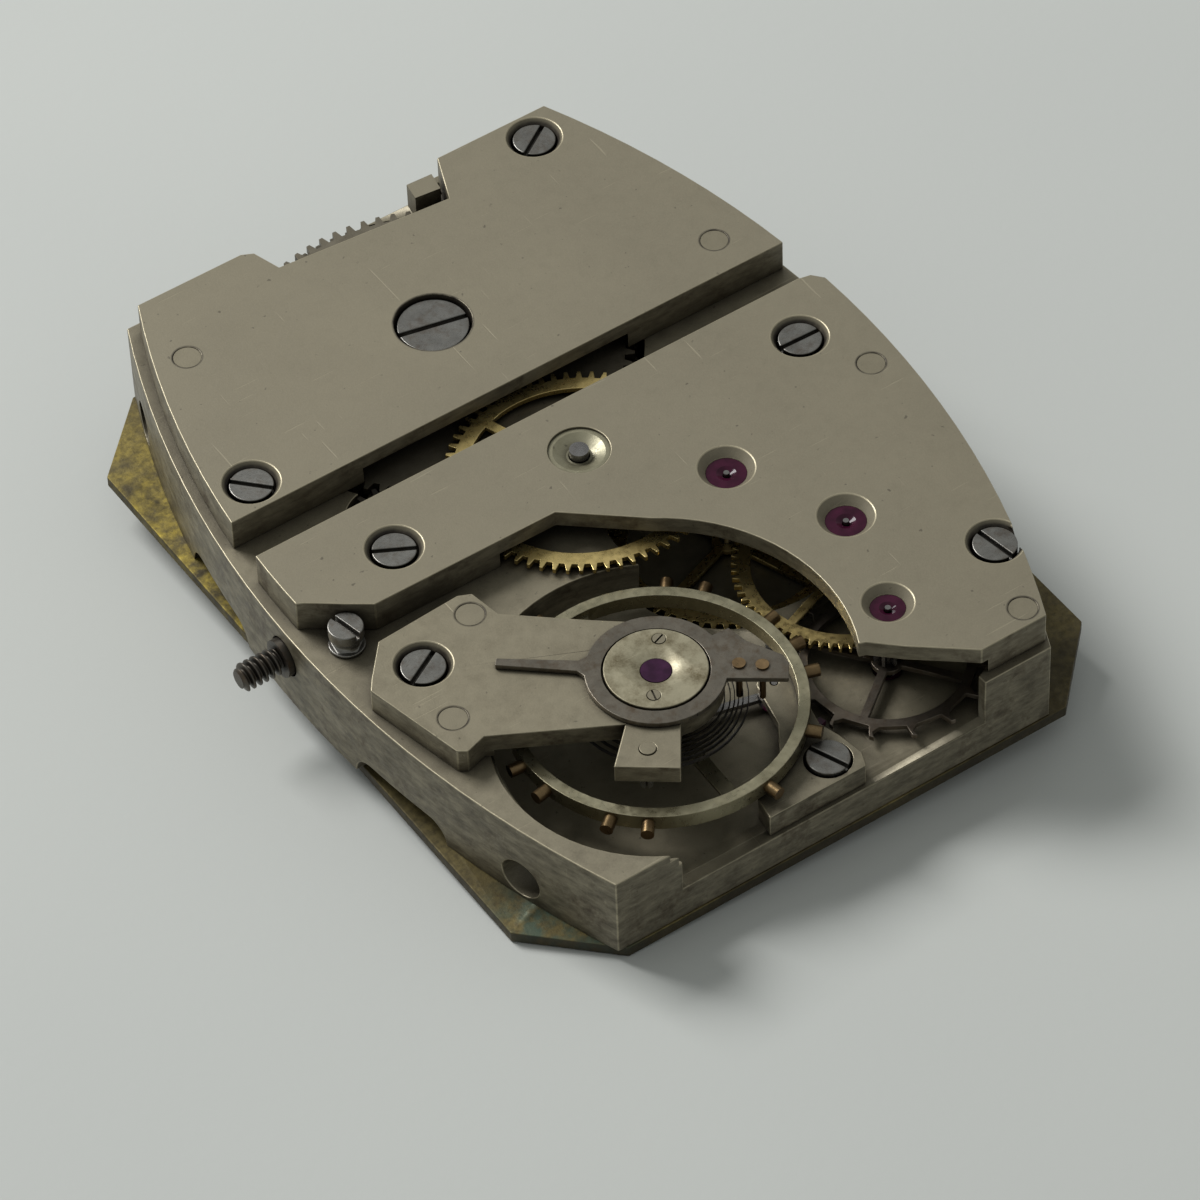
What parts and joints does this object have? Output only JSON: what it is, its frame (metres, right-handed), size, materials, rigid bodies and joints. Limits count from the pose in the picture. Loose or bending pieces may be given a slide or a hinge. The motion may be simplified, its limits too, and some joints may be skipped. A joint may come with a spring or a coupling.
{
  "type": "watch movement",
  "caption": "Hand-wound tonneau wristwatch movement with bridges, going train, lever escapement, balance, keyless works, motion work and dial, seen from the bridge side.",
  "frame": {"origin": "on the hand axis, level with the outer face of the dial", "axes": "+Y towards the barrel, -X along the winding stem, +Z towards the bridges"},
  "size_m": [0.0227, 0.0273, 0.0058],
  "materials": {
    "nickel_plate": "matte grained nickel silver",
    "dial_brass": "tarnished brass",
    "brass": "polished brass",
    "steel": "polished steel",
    "ruby": "polished ruby"
  },
  "bodies": {
    "frame": {"main_plate": "nickel_plate", "dial": "dial_brass", "dial_foot_screws": "steel", "barrel_bridge": "nickel_plate", "train_bridge": "nickel_plate", "bridge_screws": "steel", "balance_cock": "nickel_plate", "pallet_cock": "nickel_plate", "pallet_cock_screw": "steel", "steady_pins": "steel", "train_jewels": "ruby", "balance_jewels": "ruby", "end_piece": "nickel_plate", "end_piece_screws": "steel", "cap_jewel": "ruby", "centre_bush": "nickel_plate", "hairspring_stud": "nickel_plate", "stud_screw": "steel", "setting_cover_plate": "nickel_plate", "small_screws": "steel", "click_spring": "steel"},
    "barrel": {"barrel_drum": "brass", "barrel_cover": "brass", "mainspring": "steel"},
    "winding_arbor": {"barrel_arbor": "steel", "ratchet_wheel": "steel", "ratchet_screw": "steel"},
    "centre_arbor": {"centre_wheel": "brass", "centre_pinion": "steel", "cannon_pinion": "steel"},
    "third_arbor": {"third_wheel": "brass", "third_pinion": "steel"},
    "fourth_arbor": {"fourth_wheel": "brass", "fourth_pinion": "steel"},
    "escape_arbor": {"escape_wheel": "steel", "escape_pinion": "steel"},
    "pallets": {"pallet_fork": "steel", "pallet_stones": "ruby", "pallet_arbor": "steel"},
    "balance": {"balance_wheel": "brass", "balance_screws": "brass", "balance_staff": "steel", "roller_table": "steel", "impulse_jewel": "ruby", "hairspring_collet": "brass", "hairspring": "steel"},
    "regulator_arm": {"regulator": "steel", "curb_pins": "brass"},
    "crown_gear": {"crown_wheel": "steel"},
    "intermediate_gear": {"intermediate_wheel": "steel"},
    "winding_gear": {"winding_pinion": "steel"},
    "stem": {"winding_stem": "steel"},
    "clutch": {"sliding_pinion": "steel"},
    "lever": {"setting_lever": "steel", "setting_lever_screw": "steel"},
    "yoke_arm": {"yoke": "steel"},
    "click_arm": {"click": "nickel_plate"},
    "minute_gear": {"minute_wheel": "brass"},
    "hour_gear": {"hour_wheel": "brass"},
    "setting_gear": {"setting_wheel": "steel"}
  },
  "joints": [
    {"name": "fourth_wheel_turn", "type": "hinge", "parent": "frame", "child": "fourth_arbor", "pos_m": [0.00491, -0.00688, 0.002], "axis": [0, 0, 1], "continuous": true},
    {"name": "escape_wheel_turn", "type": "hinge", "parent": "frame", "child": "escape_arbor", "pos_m": [0.00386, -0.01043, 0.002], "axis": [0, 0, 1], "continuous": true},
    {"name": "third_wheel_turn", "type": "hinge", "parent": "frame", "child": "third_arbor", "pos_m": [0.00316, -0.00319, 0.002], "axis": [0, 0, 1], "continuous": true},
    {"name": "centre_wheel_turn", "type": "hinge", "parent": "frame", "child": "centre_arbor", "pos_m": [0, 0, 0], "axis": [0, 0, 1], "continuous": true},
    {"name": "barrel_turn", "type": "hinge", "parent": "frame", "child": "barrel", "pos_m": [-0.00059, 0.00708, 0.002], "axis": [0, 0, 1], "continuous": true},
    {"name": "minute_wheel_turn", "type": "hinge", "parent": "frame", "child": "minute_gear", "pos_m": [-0.00244, 0.00089, 0.0008], "axis": [0, 0, 1], "continuous": true},
    {"name": "hour_wheel_turn", "type": "hinge", "parent": "frame", "child": "hour_gear", "pos_m": [0, 0, 0], "axis": [0, 0, 1], "continuous": true},
    {"name": "setting_wheel_turn", "type": "hinge", "parent": "frame", "child": "setting_gear", "pos_m": [-0.0052, 0.0001, 0.0009], "axis": [0, 0, 1], "continuous": true},
    {"name": "stem_turn", "type": "hinge", "parent": "frame", "child": "winding_gear", "pos_m": [-0.008, 0, 0.00225], "axis": [1, 0, 0], "continuous": true},
    {"name": "crown_wheel_turn", "type": "hinge", "parent": "frame", "child": "crown_gear", "pos_m": [-0.00669, -0.00007, 0.0032], "axis": [0, 0, 1], "continuous": true},
    {"name": "intermediate_wheel_turn", "type": "hinge", "parent": "frame", "child": "intermediate_gear", "pos_m": [-0.00556, 0.00203, 0.0032], "axis": [0, 0, 1], "continuous": true},
    {"name": "ratchet_turn", "type": "hinge", "parent": "frame", "child": "winding_arbor", "pos_m": [-0.00059, 0.00708, 0.0032], "axis": [0, 0, 1], "continuous": true},
    {"name": "stem_pull", "type": "slide", "parent": "winding_gear", "child": "stem", "axis": [-1, 0, 0], "range_m": [0, 0.00045]},
    {"name": "clutch_shift", "type": "slide", "parent": "winding_gear", "child": "clutch", "axis": [1, 0, 0], "range_m": [0, 0.0004125]},
    {"name": "setting_lever_swing", "type": "hinge", "parent": "frame", "child": "lever", "pos_m": [-0.00944, -0.00164, 0.002], "axis": [0, 0, 1], "range_deg": [0, 15.8]},
    {"name": "yoke_swing", "type": "hinge", "parent": "frame", "child": "yoke_arm", "pos_m": [-0.00722, 0.0023, 0.002], "axis": [0, 0, 1], "range_deg": [0, 10.4]},
    {"name": "balance_swing", "type": "hinge", "parent": "frame", "child": "balance", "pos_m": [-0.00313, -0.00857, 0.002], "axis": [0, 0, 1], "range_deg": [-270, 270], "stiffness_Nm_per_rad": 0.0000003, "deforming": ["hairspring"]},
    {"name": "pallet_swing", "type": "hinge", "parent": "frame", "child": "pallets", "pos_m": [0.0004, -0.00951, 0.002], "axis": [0, 0, 1], "range_deg": [-5, 5]},
    {"name": "click_swing", "type": "hinge", "parent": "frame", "child": "click_arm", "pos_m": [0.0045, 0.0118, 0.0032], "axis": [0, 0, 1], "range_deg": [-5, 0], "stiffness_Nm_per_rad": 0.000001},
    {"name": "regulator_turn", "type": "hinge", "parent": "frame", "child": "regulator_arm", "pos_m": [-0.00313, -0.00857, 0.0044], "axis": [0, 0, 1], "range_deg": [-20, 20]}
  ],
  "couplings": [
    {"joint": "escape_wheel_turn", "follows": "fourth_wheel_turn", "ratio": -10},
    {"joint": "third_wheel_turn", "follows": "fourth_wheel_turn", "ratio": -0.13333},
    {"joint": "centre_wheel_turn", "follows": "fourth_wheel_turn", "ratio": 0.016667},
    {"joint": "barrel_turn", "follows": "fourth_wheel_turn", "ratio": -0.0027778},
    {"joint": "minute_wheel_turn", "follows": "fourth_wheel_turn", "ratio": -0.0055556},
    {"joint": "hour_wheel_turn", "follows": "fourth_wheel_turn", "ratio": 0.0013889},
    {"joint": "setting_wheel_turn", "follows": "fourth_wheel_turn", "ratio": 0.011905},
    {"joint": "crown_wheel_turn", "follows": "stem_turn", "ratio": 0.70588},
    {"joint": "intermediate_wheel_turn", "follows": "stem_turn", "ratio": -0.85714},
    {"joint": "ratchet_turn", "follows": "stem_turn", "ratio": 0.15385},
    {"joint": "clutch_shift", "follows": "stem_pull", "ratio": 0.91667},
    {"joint": "setting_lever_swing", "follows": "stem_pull", "rad_per_m": 609.76},
    {"joint": "yoke_swing", "follows": "stem_pull", "rad_per_m": 398.55}
  ]
}
